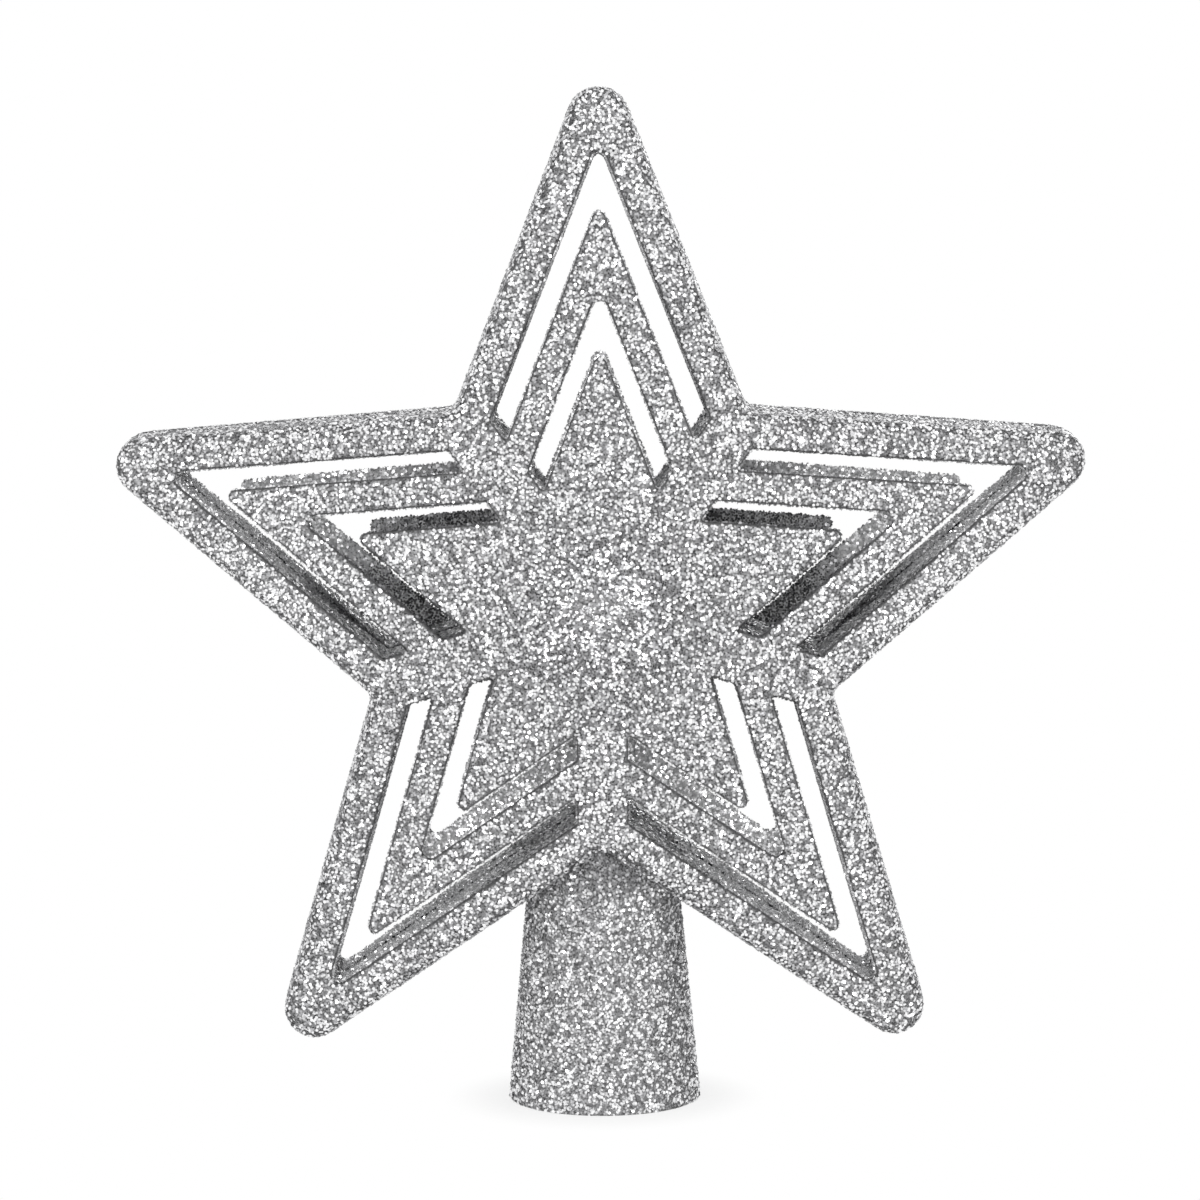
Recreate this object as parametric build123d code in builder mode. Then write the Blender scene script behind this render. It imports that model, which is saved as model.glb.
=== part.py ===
# Tree topper star: two moulded half shells, closed around the tongue of a tapered tree socket.
# Millimetres. +Z is up, the star's front faces -Y, and the origin is under the middle of the
# socket's foot, on the surface that the topper stands on.
import os
from math import cos, radians, sin

from build123d import *

# Star outline where the two halves meet: each reach runs from the star's centre to a sharp corner,
# and the side valleys' turn is measured from the top arm
star_centre_height = 98.5
top_reach = 112.0
side_reach = 108.8
lower_reach = 115.0
upper_valley_reach = 48.5
side_valley_reach = 47.7
bottom_valley_reach = 46.6
side_valley_turn = 109.5
arm_tip_radius = 6.0
valley_radius = 2.8

# Nested bars of each arm, from the outside in, measured square to the arm's edge
frame_width = 7.4
outer_slot = 4.4
band_width = 6.0
inner_slot = 4.2
spoke_width = 9.9
slot_tip_radius = 1.6
band_tip_radius = 1.3
slot_end_radius = 0.5

# Moulding of one half
centre_depth = 20.7
dome_radius = 580.0
draft_angle = 2.0
skin = 2.0
frame_round = 3.2
slot_round = 1.2
seam_groove = 0.3
groove_angle = 45.0

# Pegs that locate the halves on each other
peg_radius = 1.5
peg_length = 4.0
boss_radius = 4.2

# Tree socket
socket_foot_radius = 18.9
socket_top_radius = 14.0
socket_wall = 2.0
foot_round = 0.5
tongue_depth = 12.0
tongue_height = 26.0
tongue_hole_height = 16.0

# Clearances
fit_clearance = 0.2
seat_clearance = 0.3

# Values that follow from the sizes above
arm_count = 5
arm_pitch = 360 / arm_count
arm_reaches = (top_reach, side_reach, lower_reach, lower_reach, side_reach)
arm_directions = [90 - arm_pitch * arm for arm in range(arm_count)]
right_valley_reaches = (upper_valley_reach, side_valley_reach)
valley_reaches = (*right_valley_reaches, bottom_valley_reach, *reversed(right_valley_reaches))
valley_turns = (arm_pitch / 2, side_valley_turn, 180, 360 - side_valley_turn, 360 - arm_pitch / 2)
blank_depth = centre_depth + skin
socket_height = star_centre_height - bottom_valley_reach
tongue_width = spoke_width - 2 * skin - 2 * fit_clearance
tongue_hole_reach = star_centre_height - socket_height - tongue_hole_height
dome_centre = (0, dome_radius - centre_depth, star_centre_height)
star_plane = Plane(origin=(0, 0, star_centre_height), x_dir=(1, 0, 0), z_dir=(0, -1, 0))


def polar(reach, direction):
    return (reach * cos(radians(direction)), reach * sin(radians(direction)))


def star_corners(inset):
    """Tips and valleys in turn, clockwise from the top, after every side has moved in by inset."""
    corners = []
    for arm in range(arm_count):
        corners.append(Vector(polar(arm_reaches[arm], arm_directions[arm])))
        corners.append(Vector(polar(valley_reaches[arm], arm_directions[0] - valley_turns[arm])))
    sides = [corner - before for before, corner in zip(corners[-1:] + corners, corners)]
    inward = [side.normalized().rotate(Axis.Z, -90) for side in sides]
    moved = []
    for corner, one, other in zip(corners, inward, inward[1:] + inward[:1]):
        moved.append(corner + (one + other) * (inset / (1 + one.dot(other))))
    return moved


def star_face(inset, tip_round, valley_round=0.0):
    """The star's outline drawn in by inset, with rounded tips and, where asked, rounded valleys."""
    with BuildSketch() as star:
        with BuildLine():
            Polyline(*star_corners(inset), close=True)
        make_face()
        fillet(star.vertices().sort_by_distance((0, 0))[arm_count:], tip_round)
        if valley_round:
            fillet(star.vertices().sort_by_distance((0, 0))[:arm_count], valley_round)
    return star.sketch


def spoke_face(width):
    """Five straight spokes, evenly spread, from the star's centre to its valleys."""
    first_direction = arm_directions[0] - arm_pitch / 2
    with BuildSketch() as spokes:
        with PolarLocations(upper_valley_reach / 2, arm_count, start_angle=first_direction):
            Rectangle(upper_valley_reach, width)
    return spokes.sketch


outline = star_face(0, arm_tip_radius, valley_radius)
frame_inside = star_face(frame_width, slot_tip_radius)
spokes = spoke_face(spoke_width)
tip_centres = star_corners(arm_tip_radius)[::2]

# Chevron slots: one between frame and band and one between band and centre star, in every arm
band_outer = frame_width + outer_slot
band_inner = band_outer + band_width
with BuildSketch() as slots:
    add(frame_inside)
    add(star_face(band_outer, band_tip_radius), mode=Mode.SUBTRACT)
    add(star_face(band_inner, slot_tip_radius))
    add(star_face(band_inner + inner_slot, band_tip_radius), mode=Mode.SUBTRACT)
    add(spokes, mode=Mode.SUBTRACT)
    fillet(slots.vertices(Select.LAST), slot_end_radius)

# Open arms behind the band and the centre star, down to where the halves meet
with BuildSketch() as arm_spaces:
    add(frame_inside)
    add(spokes, mode=Mode.SUBTRACT)
    fillet(arm_spaces.vertices(Select.LAST), slot_end_radius)

# Hollow channels inside the frame and the spokes, left solid at the pegs and around the socket
with BuildSketch() as spoke_channels:
    add(spoke_face(spoke_width - 2 * skin))
    add(star_face(skin, arm_tip_radius - skin), mode=Mode.INTERSECT)
with BuildSketch() as channels:
    add(star_face(skin, arm_tip_radius - skin, valley_radius + skin))
    add(star_face(frame_width - skin, slot_tip_radius + skin), mode=Mode.SUBTRACT)
    add(spoke_channels.sketch)
    with Locations(*tip_centres, (0, -tongue_hole_reach)):
        Circle(boss_radius, mode=Mode.SUBTRACT)
    with Locations((0, -bottom_valley_reach)):
        Rectangle(2 * socket_foot_radius, 2 * frame_width, mode=Mode.SUBTRACT)

# Mould cores that leave one skin under the dome
with BuildPart() as arm_cores:
    with BuildSketch(star_plane):
        add(arm_spaces.sketch)
    extrude(amount=blank_depth)
    with Locations(dome_centre):
        Sphere(dome_radius - skin, mode=Mode.INTERSECT)
with BuildPart() as channel_cores:
    with BuildSketch(star_plane):
        add(channels.sketch)
    extrude(amount=blank_depth)
    with Locations(dome_centre):
        Sphere(dome_radius - skin, mode=Mode.INTERSECT)

# One half of the star, as both halves are before their pegs and holes
with BuildPart() as star_half:
    with BuildSketch(star_plane.offset(seam_groove)) as side:
        add(outline)
    extrude(amount=blank_depth, taper=draft_angle)
    extrude(side.sketch, amount=-seam_groove, taper=groove_angle)
    with Locations(dome_centre):
        Sphere(dome_radius, mode=Mode.INTERSECT)
    with BuildSketch(star_plane):
        add(slots.sketch)
    extrude(amount=blank_depth, mode=Mode.SUBTRACT)
    dome = star_half.faces().filter_by(GeomType.SPHERE).sort_by(SortBy.AREA)[-1]
    fillet(dome.outer_wire().edges(), frame_round)
    dome = star_half.faces().filter_by(GeomType.SPHERE).sort_by(SortBy.AREA)[-1]
    fillet([edge for wire in dome.inner_wires() for edge in wire.edges()], slot_round)
    add(arm_cores.part, mode=Mode.SUBTRACT)
    seam = star_half.faces().sort_by(Axis.Y)[-1]
    chamfer([edge for wire in seam.inner_wires() for edge in wire.edges()], seam_groove)
    add(channel_cores.part, mode=Mode.SUBTRACT)
    # Saddle over the socket's top, and the way in for its tongue
    with BuildSketch(Plane.XZ):
        with BuildLine():
            Polyline(
                (0, 0),
                (socket_foot_radius + seat_clearance, 0),
                (socket_top_radius + seat_clearance, socket_height + seat_clearance),
                (0, socket_height + seat_clearance),
                close=True,
            )
        make_face()
    revolve(axis=Axis.Z, mode=Mode.SUBTRACT)
    with BuildSketch(Plane.XY.offset(socket_height)):
        Rectangle(tongue_width + 2 * fit_clearance, tongue_depth + 2 * fit_clearance)
    extrude(amount=tongue_height + fit_clearance, mode=Mode.SUBTRACT)

tongue_face_depth = tongue_depth / 2 + fit_clearance

with BuildPart() as front_star_shell:
    add(star_half.part)
    with BuildSketch(star_plane):
        with Locations(*tip_centres):
            Circle(peg_radius)
    extrude(amount=-peg_length)
    with BuildSketch(star_plane.offset(tongue_face_depth)):
        with Locations((0, -tongue_hole_reach)):
            Circle(peg_radius)
    extrude(amount=-(2 * tongue_face_depth + peg_length))

with BuildPart() as back_star_shell:
    add(mirror(star_half.part, about=Plane.XZ, mode=Mode.PRIVATE))
    with BuildSketch(star_plane):
        with Locations(*tip_centres):
            Circle(peg_radius + fit_clearance)
    extrude(amount=-(peg_length + fit_clearance), mode=Mode.SUBTRACT)
    with BuildSketch(star_plane.offset(-tongue_face_depth)):
        with Locations((0, -tongue_hole_reach)):
            Circle(peg_radius + fit_clearance)
    extrude(amount=-(peg_length + fit_clearance), mode=Mode.SUBTRACT)

with BuildPart() as tree_socket:
    with BuildSketch(Plane.XZ):
        with BuildLine():
            Polyline(
                (socket_foot_radius - socket_wall, 0),
                (socket_foot_radius, 0),
                (socket_top_radius, socket_height),
                (0, socket_height),
                (0, socket_height - socket_wall),
                (socket_top_radius - socket_wall, socket_height - socket_wall),
                close=True,
            )
        make_face()
    revolve(axis=Axis.Z)
    fillet(tree_socket.edges().group_by(Axis.Z)[0].sort_by(SortBy.LENGTH)[-1], foot_round)
    with BuildSketch(Plane.XY.offset(socket_height)):
        Rectangle(tongue_width, tongue_depth)
    extrude(amount=tongue_height)
    with BuildSketch(star_plane):
        with Locations((0, -tongue_hole_reach)):
            Circle(peg_radius + fit_clearance)
    extrude(amount=tongue_depth, both=True, mode=Mode.SUBTRACT)

os.makedirs("parts", exist_ok=True)
front_star_shell.part.label = "front_star_shell"
export_step(front_star_shell.part, "parts/front_star_shell.step")
back_star_shell.part.label = "back_star_shell"
export_step(back_star_shell.part, "parts/back_star_shell.step")
tree_socket.part.label = "tree_socket"
export_step(tree_socket.part, "parts/tree_socket.step")
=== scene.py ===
import math

import bmesh
import bpy
import numpy
from mathutils import Matrix, Vector
from mathutils.bvhtree import BVHTree


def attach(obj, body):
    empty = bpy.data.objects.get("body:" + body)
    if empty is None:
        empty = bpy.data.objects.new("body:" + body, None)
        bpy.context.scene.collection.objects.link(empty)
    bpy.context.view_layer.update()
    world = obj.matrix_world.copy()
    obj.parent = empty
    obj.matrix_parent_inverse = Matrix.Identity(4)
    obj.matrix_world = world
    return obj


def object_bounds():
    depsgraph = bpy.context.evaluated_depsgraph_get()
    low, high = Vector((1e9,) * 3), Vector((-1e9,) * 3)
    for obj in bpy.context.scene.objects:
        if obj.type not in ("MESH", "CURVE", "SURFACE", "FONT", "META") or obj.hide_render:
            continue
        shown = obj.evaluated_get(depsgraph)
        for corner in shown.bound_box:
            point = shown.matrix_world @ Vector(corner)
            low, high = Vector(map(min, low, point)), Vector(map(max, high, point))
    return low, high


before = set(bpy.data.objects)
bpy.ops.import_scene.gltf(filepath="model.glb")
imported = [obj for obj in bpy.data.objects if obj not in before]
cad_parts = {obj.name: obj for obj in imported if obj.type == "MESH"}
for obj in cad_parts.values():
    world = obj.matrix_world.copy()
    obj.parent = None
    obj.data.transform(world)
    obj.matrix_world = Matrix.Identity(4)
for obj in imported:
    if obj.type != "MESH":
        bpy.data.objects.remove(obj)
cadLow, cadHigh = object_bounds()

mm = 0.001
scene = bpy.context.scene
starMiddle = Vector((0, 0, 98.5 * mm))  # where the five arms meet
dome = {"depth": 20.7 * mm, "radius": 580 * mm}  # one half's front, deepest at the star's middle
print("frame loaded, CAD box", [round(v / mm, 2) for v in (*cadLow, *cadHigh)])


def linear(hexColor):
    # sRGB hex to the linear values that the shaders take
    parts = [int(hexColor[i:i + 2], 16) / 255 for i in (1, 3, 5)]
    return (*(p / 12.92 if p <= 0.04045 else ((p + 0.055) / 1.055) ** 2.4 for p in parts), 1)


def addNode(tree, kind, settings=None, links=None):
    # settings are the node's own properties
    # links maps an input's name or place to a value or to another node's socket
    node = tree.nodes.new(kind)
    for name, value in (settings or {}).items():
        setattr(node, name, value)
    for key, value in (links or {}).items():
        if isinstance(key, str):
            socket = next(s for s in node.inputs if s.name == key and s.enabled)
        else:
            socket = node.inputs[key]
        if isinstance(value, bpy.types.NodeSocket):
            tree.links.new(value, socket)
        else:
            socket.default_value = value
    return node


def result(node, name=None):
    return next(s for s in node.outputs if s.enabled and name in (None, s.name))


def newMaterial(name):
    material = bpy.data.materials.new(name)
    material.use_nodes = True
    material.node_tree.nodes.clear()
    return material, material.node_tree


# Ground coat: polystyrene moulding in silver lacquer with fine dust in it, a satin grey that
# fills in between the flakes. It lies bare on the slots' rounded edges, where flakes don't hold,
# and is darker there, painted shade along the slots. Deeper in it turns pale, painted light in
# the shaded hollows, and the glue line along the seam is dark.
groundCoat = {
    "grain": 0.4 * mm,  # width of one speck of dust
    "darkSpeck": "#606061",
    "paleSpeck": "#a8a8a9",
    "lean": 1.0,  # how far a speck leans off the surface
    "metallic": 0.35,
    "smoothest": 0.5,  # roughness of the specks, from here
    "roughest": 0.7,  # to here
    # painted shade along the slots' rounded edges
    "edge": "#6c6c6d",
    "edgeStart": 0.3 * mm,  # depths under the dome
    "edgeFull": 0.5 * mm,
    # painted light deeper in, to brighten the shaded hollows
    "inside": "#d0d0d1",
    "insideStart": 1.7 * mm,
    "insideFull": 1.9 * mm,
    "seam": "#1e1e1f",
    "seamHalf": 0.5 * mm,
    "seamSoft": 0.12 * mm,
}


def shellTone(tree, place, outside):
    # both halves and both sides are alike, so the place is folded onto one quarter
    folded = addNode(tree, "ShaderNodeVectorMath", {"operation": "ABSOLUTE"}, {
        0: place.outputs["Object"]})
    away = addNode(tree, "ShaderNodeVectorMath", {"operation": "DISTANCE"}, {
        0: folded.outputs[0], 1: (0, dome["depth"] - dome["radius"], starMiddle.z)})
    tone = outside
    # by depth under the dome: painted shade on the rounded edges, then painted light deeper in
    for layer in ("edge", "inside"):
        share = addNode(tree, "ShaderNodeMapRange", links={
            "Value": result(away, "Value"),
            "From Min": dome["radius"] - groundCoat[layer + "Start"],
            "From Max": dome["radius"] - groundCoat[layer + "Full"]})
        tone = addNode(tree, "ShaderNodeMix", {"data_type": "RGBA"}, {
            "Factor": share.outputs[0], "A": tone, "B": linear(groundCoat[layer])})
        tone = result(tone, "Result")
    across = addNode(tree, "ShaderNodeSeparateXYZ", links={0: folded.outputs[0]})
    seam = addNode(tree, "ShaderNodeMapRange", links={
        "Value": across.outputs["Y"], "From Min": groundCoat["seamHalf"],
        "From Max": groundCoat["seamHalf"] - groundCoat["seamSoft"]})
    tone = addNode(tree, "ShaderNodeMix", {"data_type": "RGBA"}, {
        "Factor": seam.outputs[0], "A": tone, "B": linear(groundCoat["seam"])})
    return result(tone, "Result")


def makeGroundCoat(name, onShell):
    material, tree = newMaterial(name)
    place = addNode(tree, "ShaderNodeTexCoord")
    specks = addNode(tree, "ShaderNodeTexVoronoi", {"feature": "F1"}, {
        "Vector": place.outputs["Object"], "Scale": 1 / groundCoat["grain"]})
    split = addNode(tree, "ShaderNodeSeparateColor", links={0: specks.outputs["Color"]})
    tone = addNode(tree, "ShaderNodeMix", {"data_type": "RGBA"}, {
        "Factor": split.outputs[0], "A": linear(groundCoat["darkSpeck"]),
        "B": linear(groundCoat["paleSpeck"])})
    tone = result(tone, "Result")
    if onShell:
        tone = shellTone(tree, place, tone)
    rough = addNode(tree, "ShaderNodeMapRange", links={
        "Value": split.outputs[1], "To Min": groundCoat["smoothest"],
        "To Max": groundCoat["roughest"]})
    # each speck mirrors its own way
    lean = addNode(tree, "ShaderNodeVectorMath", {"operation": "SUBTRACT"}, {
        0: specks.outputs["Color"], 1: (0.5, 0.5, 0.5)})
    lean = addNode(tree, "ShaderNodeVectorMath", {"operation": "SCALE"}, {
        "Vector": lean.outputs[0], "Scale": groundCoat["lean"]})
    surface = addNode(tree, "ShaderNodeNewGeometry")
    turned = addNode(tree, "ShaderNodeVectorMath", {"operation": "ADD"}, {
        0: surface.outputs["Normal"], 1: lean.outputs[0]})
    turned = addNode(tree, "ShaderNodeVectorMath", {"operation": "NORMALIZE"}, {
        0: turned.outputs[0]})
    shader = addNode(tree, "ShaderNodeBsdfPrincipled", links={
        "Base Color": tone, "Metallic": groundCoat["metallic"], "Roughness": rough.outputs[0],
        "Normal": turned.outputs[0]})
    addNode(tree, "ShaderNodeOutputMaterial", links={"Surface": shader.outputs[0]})
    return material


shellCoat = makeGroundCoat("silverLacquerWithGlitterDust", True)
socketCoat = makeGroundCoat("silverLacquerOnSocket", False)
for name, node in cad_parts.items():
    node.data.materials.clear()
    node.data.materials.append(socketCoat if name == "tree_socket" else shellCoat)
print("ground coat on", sorted(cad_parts))

# Flakes: hexagons punched from aluminium-coated polyester film. Each one mirrors its own patch of
# the room, so at this distance they read as separate greys. The tones stand for how much of the
# room each batch returns.
flakeTones = {
    "shadedFilmFlake": {"color": "#262628", "metallic": 0.25, "roughness": 0.4},
    "dimFilmFlake": {"color": "#5c5c5e", "metallic": 0.25, "roughness": 0.38},
    "greyFilmFlake": {"color": "#8c8c8e", "metallic": 0.3, "roughness": 0.36},
    "plainFilmFlake": {"color": "#bababc", "metallic": 0.35, "roughness": 0.34},
    "paleFilmFlake": {"color": "#e4e4e5", "metallic": 0.4, "roughness": 0.3},
    "brightFilmFlake": {"color": "#fcfcfd", "metallic": 0.6, "roughness": 0.26},
}


def makeFlakeTones():
    made = []
    for name, look in flakeTones.items():
        material, tree = newMaterial(name)
        shader = addNode(tree, "ShaderNodeBsdfPrincipled", links={
            "Base Color": linear(look["color"]), "Metallic": look["metallic"],
            "Roughness": look["roughness"]})
        addNode(tree, "ShaderNodeOutputMaterial", links={"Surface": shader.outputs[0]})
        made.append(material)
    return made


flakeSides = 6
crowding = 2.0  # flakes thrown at each spacing squared, of which the spacing keeps a share
glitter = {
    "Flake Width": 0.72 * mm,
    "Smallest": 0.5,  # share of the full width
    "Lift": 0.15 * mm,  # most that a flake stands off the lacquer
    "Drift Width": 2.0 * mm,  # patches where the flakes fell alike
    "Drift": 0.5,  # how much brighter or dimmer such a patch is
}

# The coat of each zone: how close the flakes lie, how far they lean off the surface, from which
# share of the tones up they are, how far the glue reaches from the seam, and two round places,
# mirrored to both sides: a spot of painted shade, where the flakes are dimmer, and a fill of
# painted light, where they are brighter. The spots paint the shade deep in the side arms beside
# their spokes, the frame's shadow on the socket's top, a dimmer middle of the face against the
# lamps' highlight there, and a dimmer rim all round. The face's fill lies on the side arms. On
# walls the glitter lands at all angles. Walls and insides keep to the paler tones, painted light
# in their shaded hollows.
noFill = {"Fill": (0, 0, 0), "Fill Near": 0.0, "Fill Far": 1 * mm, "Fill Change": 0.0}
coats = {
    # painted shade at the face's middle, painted light on the side arms
    "Face": {
        "Spacing": 0.325 * mm, "Lean": math.radians(30), "Dimmest": 0.0, "Seam Half": 0.0,
        "Spot": (3 * mm, 0, 97 * mm), "Spot Near": 8 * mm, "Spot Far": 26 * mm,
        "Spot Change": -0.13,
        "Fill": (68 * mm, 0, 101 * mm), "Fill Near": 6 * mm, "Fill Far": 28 * mm,
        "Fill Change": 0.14},
    # painted shade over the whole rim
    "Rim": {
        "Spacing": 0.38 * mm, "Lean": math.radians(30), "Dimmest": 0.0, "Seam Half": 1.0 * mm,
        "Spot": (0, 0, 98.5 * mm), "Spot Near": 200 * mm, "Spot Far": 300 * mm,
        "Spot Change": -0.05, **noFill},
    # paler tones as painted light, painted shade beside the side arms' spokes
    "Wall": {
        "Spacing": 0.36 * mm, "Lean": math.radians(75), "Dimmest": 0.85, "Seam Half": 0.8 * mm,
        "Spot": (36 * mm, 0, 98 * mm), "Spot Near": 12 * mm, "Spot Far": 36 * mm,
        "Spot Change": -0.7, **noFill},
    # paler tones as painted light, painted shade beside the side arms' spokes
    "Inside": {
        "Spacing": 0.36 * mm, "Lean": math.radians(11), "Dimmest": 0.5, "Seam Half": 0.0,
        "Spot": (27 * mm, 0, 101 * mm), "Spot Near": 10 * mm, "Spot Far": 32 * mm,
        "Spot Change": -0.75, **noFill},
    # painted shadow of the frame on the socket's top
    "Socket": {
        "Spacing": 0.325 * mm, "Lean": math.radians(40), "Dimmest": 0.18, "Seam Half": 0.0,
        "Spot": (0, 0, 62 * mm), "Spot Near": 10 * mm, "Spot Far": 25 * mm,
        "Spot Change": -0.36, **noFill},
}


def makeGlitterTree(tones):
    tree = bpy.data.node_groups.new("glitterFlakes", "GeometryNodeTree")
    sockets = {}
    kinds = {"Geometry": "Geometry", "Seed": "Int", "Spot": "Vector", "Fill": "Vector"}
    for name in ("Geometry", *glitter, *coats["Face"], "Seed"):
        made = tree.interface.new_socket(
            name=name, in_out="INPUT", socket_type="NodeSocket" + kinds.get(name, "Float"))
        sockets[name] = made.identifier
    tree.interface.new_socket(
        name="Geometry", in_out="OUTPUT", socket_type="NodeSocketGeometry")
    given = addNode(tree, "NodeGroupInput").outputs
    density = addNode(tree, "ShaderNodeMath", {"operation": "POWER"}, {
        0: given["Spacing"], 1: -2.0})
    density = addNode(tree, "ShaderNodeMath", {"operation": "MULTIPLY"}, {
        0: density.outputs[0], 1: crowding})
    points = addNode(
        tree, "GeometryNodeDistributePointsOnFaces", {"distribute_method": "POISSON"}, {
            "Mesh": given["Geometry"], "Distance Min": given["Spacing"],
            "Density Max": density.outputs[0], "Seed": given["Seed"]})
    # lift along the surface's normal
    lift = addNode(tree, "FunctionNodeRandomValue", {"data_type": "FLOAT"}, {
        "Min": 0.0, "Max": given["Lift"], "Seed": given["Seed"]})
    offset = addNode(tree, "ShaderNodeVectorMath", {"operation": "SCALE"}, {
        "Vector": points.outputs["Normal"], "Scale": result(lift)})
    raised = addNode(tree, "GeometryNodeSetPosition", links={
        "Geometry": points.outputs["Points"], "Offset": offset.outputs[0]})
    # lean, turn and size of each flake
    back = addNode(tree, "ShaderNodeMath", {"operation": "MULTIPLY"}, {0: given["Lean"], 1: -1.0})
    least = addNode(tree, "ShaderNodeCombineXYZ", links={
        0: back.outputs[0], 1: back.outputs[0], 2: -math.pi})
    most = addNode(tree, "ShaderNodeCombineXYZ", links={
        0: given["Lean"], 1: given["Lean"], 2: math.pi})
    turn = addNode(tree, "FunctionNodeRandomValue", {"data_type": "FLOAT_VECTOR"}, {
        "Min": least.outputs[0], "Max": most.outputs[0], "Seed": given["Seed"]})
    turn = addNode(tree, "FunctionNodeEulerToRotation", links={0: result(turn)})
    turn = addNode(tree, "FunctionNodeRotateRotation", {"rotation_space": "LOCAL"}, {
        0: points.outputs["Rotation"], 1: turn.outputs[0]})
    size = addNode(tree, "FunctionNodeRandomValue", {"data_type": "FLOAT"}, {
        "Min": given["Smallest"], "Max": 1.0, "Seed": given["Seed"]})
    half = addNode(tree, "ShaderNodeMath", {"operation": "MULTIPLY"}, {
        0: given["Flake Width"], 1: 0.5})
    flake = addNode(tree, "GeometryNodeMeshCircle", {"fill_type": "NGON"}, {
        "Vertices": flakeSides, "Radius": half.outputs[0]})
    flakes = addNode(tree, "GeometryNodeInstanceOnPoints", links={
        "Points": raised.outputs[0], "Instance": flake.outputs[0],
        "Rotation": turn.outputs[0], "Scale": result(size)})
    # each flake's tone: its own luck, and a share of the patch that it lies in
    place = addNode(tree, "GeometryNodeInputPosition")
    luck = addNode(tree, "FunctionNodeRandomValue", {"data_type": "FLOAT"}, {
        "Min": given["Dimmest"], "Max": 1.0, "Seed": given["Seed"]})
    closeness = addNode(tree, "ShaderNodeMath", {"operation": "DIVIDE"}, {
        0: 1.0, 1: given["Drift Width"]})
    patch = addNode(tree, "ShaderNodeTexNoise", {"noise_dimensions": "3D"}, {
        "Vector": place.outputs[0], "Scale": closeness.outputs[0], "Detail": 0.0})
    patch = addNode(tree, "ShaderNodeMath", {"operation": "SUBTRACT"}, {
        0: patch.outputs[0], 1: 0.5})
    tone = addNode(tree, "ShaderNodeMath", {"operation": "MULTIPLY_ADD"}, {
        0: patch.outputs[0], 1: given["Drift"], 2: result(luck)})
    # then painted shade near the zone's spot and painted light near its fill, by how far the
    # flake is from each, seen from the front
    folded = addNode(tree, "ShaderNodeVectorMath", {"operation": "ABSOLUTE"}, {
        0: place.outputs[0]})
    flat = addNode(tree, "ShaderNodeVectorMath", {"operation": "MULTIPLY"}, {
        0: folded.outputs[0], 1: (1, 0, 1)})
    for middle in ("Spot", "Fill"):
        away = addNode(tree, "ShaderNodeVectorMath", {"operation": "DISTANCE"}, {
            0: flat.outputs[0], 1: given[middle]})
        change = addNode(tree, "ShaderNodeMapRange", {"interpolation_type": "SMOOTHSTEP"}, {
            "Value": result(away, "Value"), "From Min": given[middle + " Near"],
            "From Max": given[middle + " Far"], "To Min": given[middle + " Change"],
            "To Max": 0.0})
        tone = addNode(tree, "ShaderNodeMath", {"operation": "ADD"}, {
            0: tone.outputs[0], 1: change.outputs[0]})
    tone = addNode(tree, "ShaderNodeMath", {"operation": "MULTIPLY"}, {
        0: tone.outputs[0], 1: len(tones)})
    # glue dulls the flakes along the seam
    across = addNode(tree, "ShaderNodeSeparateXYZ", links={0: folded.outputs[0]})
    clear = addNode(
        tree, "FunctionNodeCompare", {"data_type": "FLOAT", "operation": "GREATER_EQUAL"}, {
            "A": across.outputs["Y"], "B": given["Seam Half"]})
    tone = addNode(tree, "ShaderNodeMath", {"operation": "MULTIPLY"}, {
        0: tone.outputs[0], 1: result(clear)})
    tone = addNode(tree, "ShaderNodeClamp", links={
        "Value": tone.outputs[0], "Min": 0.0, "Max": len(tones) - 0.5})
    tone = addNode(tree, "FunctionNodeFloatToInt", {"rounding_mode": "FLOOR"}, {
        0: tone.outputs[0]})
    named = addNode(
        tree, "GeometryNodeStoreNamedAttribute", {"data_type": "INT", "domain": "INSTANCE"}, {
            "Geometry": flakes.outputs[0], "Name": "batch", "Value": tone.outputs[0]})
    last = addNode(tree, "GeometryNodeRealizeInstances", links={"Geometry": named.outputs[0]})
    stored = addNode(tree, "GeometryNodeInputNamedAttribute", {"data_type": "INT"}, {
        "Name": "batch"})
    for index, material in enumerate(tones):
        mine = addNode(tree, "FunctionNodeCompare", {"data_type": "INT", "operation": "EQUAL"}, {
            "A": result(stored, "Attribute"), "B": index})
        last = addNode(tree, "GeometryNodeSetMaterial", links={
            "Geometry": last.outputs[0], "Selection": result(mine), "Material": material})
    addNode(tree, "NodeGroupOutput", links={"Geometry": last.outputs[0]})
    return tree, sockets


def surfaceTree(nodes):
    # the nodes' surfaces together, to ask what a ray would meet
    corners, faces = [], []
    for node in nodes:
        start = len(corners)
        corners += [v.co.copy() for v in node.data.vertices]
        faces += [[start + i for i in p.vertices] for p in node.data.polygons]
    return BVHTree.FromPolygons(corners, faces)


# Spray: where glitter that is blown on from all sides can land
spray = {
    "rays": 130,
    "start": 0.05 * mm,  # a ray starts this far off the face
    "leastRise": 0.05,  # rays flatter to the face than this are left out
    "smallFace": 1.0 * mm * mm,  # faces below this are tried at their middle alone
    "cornerShare": 0.6,  # larger ones also this far towards each corner
    "edgeReach": 30 * mm,  # a slot's other side lies closer than this
    "edgeStep": 1.3 * mm,  # the look for it starts this far ahead of the face
    "edgeDepth": 0.5 * mm,  # and this much deeper
    "footTurn": -0.5,  # the socket's faces that look further down than this stay bare
}

# How far a face looks to its shell's front, from 1 straight ahead to -1 straight back
zoneTurns = {"face": 0.8, "rimRound": 0.5, "wall": 0.1, "inside": -0.5}


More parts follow.
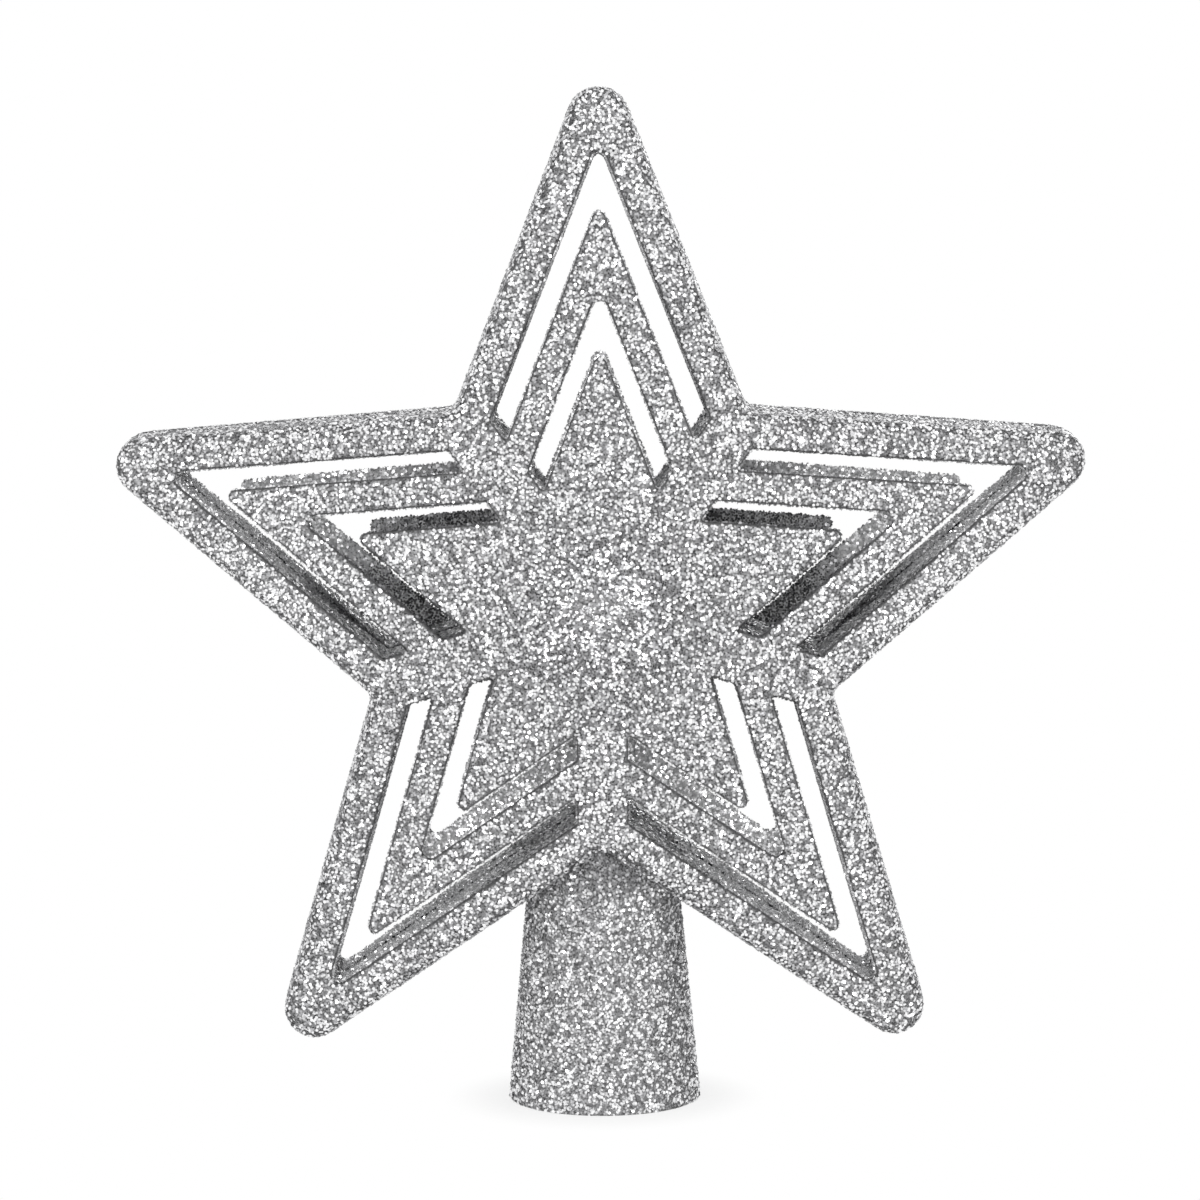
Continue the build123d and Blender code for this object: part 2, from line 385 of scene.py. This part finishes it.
def sprayDirections():
    golden = math.pi * (3 - math.sqrt(5))
    rays = []
    for i in range(spray["rays"]):
        z = 1 - (2 * i + 1) / spray["rays"]
        ring = math.sqrt(1 - z * z)
        rays.append(Vector((ring * math.cos(golden * i), ring * math.sin(golden * i), z)))
    return rays


def openFaces(mesh, solids, rays):
    # a face is open if at least one ray from it leaves the star
    reached = []
    for face in mesh.polygons:
        spots = [face.center]
        if face.area > spray["smallFace"]:
            corners = [mesh.vertices[i].co for i in face.vertices]
            spots += [face.center.lerp(corner, spray["cornerShare"]) for corner in corners]
        upward = [ray for ray in rays if ray.dot(face.normal) > spray["leastRise"]]
        lift = face.normal * spray["start"]
        reached.append(any(
            solids.ray_cast(spot + lift, ray)[0] is None for spot in spots for ray in upward))
    return reached


def besideSlot(face, facing, bothShells):
    # looks from the face, level with the star's front, for the slot's other side
    level = Vector((face.normal.x, 0, face.normal.z)).normalized()
    start = face.center + level * spray["edgeStep"] - Vector((0, facing * spray["edgeDepth"], 0))
    return bothShells.ray_cast(start, level, spray["edgeReach"])[0] is not None


def zoneOf(face, facing, bothShells):
    # facing is the way that the shell faces along Y, and an Edge, of a slot, gets no coat
    front = face.normal.y * facing
    if front > zoneTurns["face"]:
        return "Face"
    if front < zoneTurns["inside"]:
        return "Inside"
    if besideSlot(face, facing, bothShells):
        return "Wall" if front < zoneTurns["wall"] else "Edge"
    return "Face" if front > zoneTurns["rimRound"] else "Rim"


mergeGap = 0.001 * mm  # corners closer than this become one


def hostOf(mesh, wanted, name):
    # a copy of the CAD surface that keeps only the wanted faces, with its doubles merged
    host = bmesh.new()
    host.from_mesh(mesh)
    host.faces.ensure_lookup_table()
    bmesh.ops.delete(host, geom=[f for f in host.faces if not wanted[f.index]], context="FACES")
    bmesh.ops.remove_doubles(host, verts=host.verts, dist=mergeGap)
    made = bpy.data.meshes.new(name + "Host")
    host.to_mesh(made)
    host.free()
    thing = bpy.data.objects.new(name + "Host", made)
    scene.collection.objects.link(thing)
    return thing


def sprinkle(name, host, look, seed, tree, sockets):
    area = sum(p.area for p in host.data.polygons) / mm ** 2
    modifier = host.modifiers.new("flakes", "NODES")
    modifier.node_group = tree
    for key, value in {**glitter, **look, "Seed": seed}.items():
        modifier[sockets[key]] = value
    bpy.context.view_layer.update()
    shown = host.evaluated_get(bpy.context.evaluated_depsgraph_get())
    mesh = bpy.data.meshes.new_from_object(shown)
    mesh.name = name
    bpy.data.objects.remove(host)
    # no flake reaches out of the moulding's own box
    spots = numpy.empty(len(mesh.vertices) * 3, numpy.float32)
    mesh.vertices.foreach_get("co", spots)
    spots = numpy.clip(spots.reshape(-1, 3), numpy.array(cadLow), numpy.array(cadHigh))
    mesh.vertices.foreach_set("co", spots.ravel().astype(numpy.float32))
    mesh.update()
    piece = bpy.data.objects.new(name, mesh)
    scene.collection.objects.link(piece)
    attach(piece, "root")
    count = len(mesh.polygons)
    print(name, round(area), "mm2,", count, "flakes,", (flakeSides - 2) * count, "triangles")


tones = makeFlakeTones()
flakeTree, flakeSockets = makeGlitterTree(tones)
rays = sprayDirections()
solids = surfaceTree(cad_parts.values())
shellNodes = {"front": ("front_star_shell", -1), "back": ("back_star_shell", 1)}
bothShells = surfaceTree([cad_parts[node] for node, facing in shellNodes.values()])
seed = 1
for half, (node, facing) in shellNodes.items():
    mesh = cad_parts[node].data
    zones = []
    for face, reached in zip(mesh.polygons, openFaces(mesh, solids, rays)):
        zones.append(zoneOf(face, facing, bothShells) if reached else "Closed")
    print(node, {zone: zones.count(zone) for zone in sorted(set(zones))}, "faces by zone")
    for zone in ("Face", "Rim", "Wall", "Inside"):
        for side, sign in (("Left", -1), ("Right", 1)):
            wanted = [z == zone and f.center.x * sign >= 0 for f, z in zip(mesh.polygons, zones)]
            name = half + zone + side + "Flakes"
            host = hostOf(mesh, wanted, name)
            sprinkle(name, host, coats[zone], seed, flakeTree, flakeSockets)
            seed += 1
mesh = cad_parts["tree_socket"].data
wanted = []
for face, reached in zip(mesh.polygons, openFaces(mesh, solids, rays)):
    outward = face.normal.x * face.center.x + face.normal.y * face.center.y > 0
    wanted.append(reached and outward and face.normal.z > spray["footTurn"])
host = hostOf(mesh, wanted, "socketFlakes")
sprinkle("socketFlakes", host, coats["Socket"], seed, flakeTree, flakeSockets)

# Floor and room: white paper, seen as white, that keeps the contact shadow close to the foot
room = {
    "floorRadius": 6.0,  # metres
    "floorSides": 96,
    "paper": "#f4f4f4",
    "shadowShare": 0.2,  # of the paper's own shading, up to shadowNear from the middle
    "shadowNear": 19 * mm,
    "shadowFar": 33 * mm,
    "roomLight": 0.64,
}


def seenDirectly(tree):
    # 1 for what the camera sees, also in a mirror or through glass, and 0 for diffuse light
    path = addNode(tree, "ShaderNodeLightPath")
    most = addNode(tree, "ShaderNodeMath", {"operation": "MAXIMUM"}, {
        0: path.outputs["Is Camera Ray"], 1: path.outputs["Is Glossy Ray"]})
    most = addNode(tree, "ShaderNodeMath", {"operation": "MAXIMUM"}, {
        0: most.outputs[0], 1: path.outputs["Is Transmission Ray"]})
    return most.outputs[0]


def makeFloor():
    disc = bmesh.new()
    bmesh.ops.create_circle(
        disc, cap_ends=True, radius=room["floorRadius"], segments=room["floorSides"])
    mesh = bpy.data.meshes.new("paperFloor")
    disc.to_mesh(mesh)
    disc.free()
    floor = bpy.data.objects.new("paperFloor", mesh)
    scene.collection.objects.link(floor)
    material, tree = newMaterial("whitePaper")
    place = addNode(tree, "ShaderNodeTexCoord")
    away = addNode(tree, "ShaderNodeVectorMath", {"operation": "LENGTH"}, {
        0: place.outputs["Object"]})
    white = addNode(tree, "ShaderNodeMapRange", {"interpolation_type": "SMOOTHSTEP"}, {
        "Value": result(away, "Value"), "From Min": room["shadowNear"],
        "From Max": room["shadowFar"], "To Min": 1 - room["shadowShare"], "To Max": 1.0})
    share = addNode(tree, "ShaderNodeMath", {"operation": "MULTIPLY"}, {
        0: seenDirectly(tree), 1: white.outputs[0]})
    paper = addNode(tree, "ShaderNodeBsdfDiffuse", links={"Color": linear(room["paper"])})
    glow = addNode(tree, "ShaderNodeEmission", links={"Color": (1, 1, 1, 1), "Strength": 1.0})
    both = addNode(tree, "ShaderNodeMixShader", links={
        0: share.outputs[0], 1: paper.outputs[0], 2: glow.outputs[0]})
    addNode(tree, "ShaderNodeOutputMaterial", links={"Surface": both.outputs[0]})
    mesh.materials.append(material)


def makeRoom():
    world = bpy.data.worlds.new("whiteRoom")
    world.use_nodes = True
    tree = world.node_tree
    tree.nodes.clear()
    light = addNode(tree, "ShaderNodeBackground", links={
        "Color": (1, 1, 1, 1), "Strength": room["roomLight"]})
    white = addNode(tree, "ShaderNodeBackground", links={
        "Color": (1, 1, 1, 1), "Strength": 1.0})
    both = addNode(tree, "ShaderNodeMixShader", links={
        0: seenDirectly(tree), 1: light.outputs[0], 2: white.outputs[0]})
    addNode(tree, "ShaderNodeOutputWorld", links={"Surface": both.outputs[0]})
    scene.world = world


# Softboxes: place and size in metres, and watts. Each points at the star's middle.
softboxes = {
    "frontSoftbox": {"place": (-0.2, -1.3, 0.45), "size": 0.6, "watts": 3.3},
    "lensSoftbox": {"place": (-0.03, -1.5, 0.29), "size": 0.3, "watts": 5.2},
    "topSoftbox": {"place": (0.1, -0.2, 1.1), "size": 0.6, "watts": 0.9},
    "backSoftbox": {"place": (0.3, 1.2, 0.3), "size": 0.6, "watts": 3},
}


def makeSoftboxes():
    for name, look in softboxes.items():
        lamp = bpy.data.lights.new(name, "AREA")
        lamp.shape, lamp.size, lamp.energy = "SQUARE", look["size"], look["watts"]
        box = bpy.data.objects.new(name, lamp)
        box.location = look["place"]
        box.rotation_euler = (starMiddle - box.location).to_track_quat("-Z", "Y").to_euler()
        scene.collection.objects.link(box)


makeFloor()
makeRoom()
makeSoftboxes()
print("floor, room and", len(softboxes), "softboxes")

# Camera: a long lens a little above the star's middle, with that middle at its own pixel
view = {
    "frame": 1200,  # pixels along each side
    "distance": 0.8095,  # metres
    "elevation": math.radians(5.5),
    "fieldOfView": math.radians(16.66),
    "middlePixel": (601.5, 605.0),
    "roll": math.radians(-0.38),
}


def makeCamera():
    lens = bpy.data.cameras.new("photoCamera")
    lens.sensor_fit = "HORIZONTAL"
    lens.angle = view["fieldOfView"]
    camera = bpy.data.objects.new("photoCamera", lens)
    half = view["frame"] / 2
    pixel = math.tan(view["fieldOfView"] / 2) / half
    right, down = ((p - half) * pixel for p in view["middlePixel"])
    up = view["elevation"]
    spot = starMiddle + view["distance"] * Vector((0, -math.cos(up), math.sin(up)))
    turn = Matrix.Rotation(math.pi / 2 - up, 4, "X")
    turn = turn @ Matrix.Rotation(down, 4, "X") @ Matrix.Rotation(right, 4, "Y")
    camera.matrix_world = Matrix.Translation(spot) @ turn @ Matrix.Rotation(view["roll"], 4, "Z")
    scene.collection.objects.link(camera)
    scene.camera = camera


makeCamera()
scene.view_settings.view_transform = "Standard"
print("camera set")
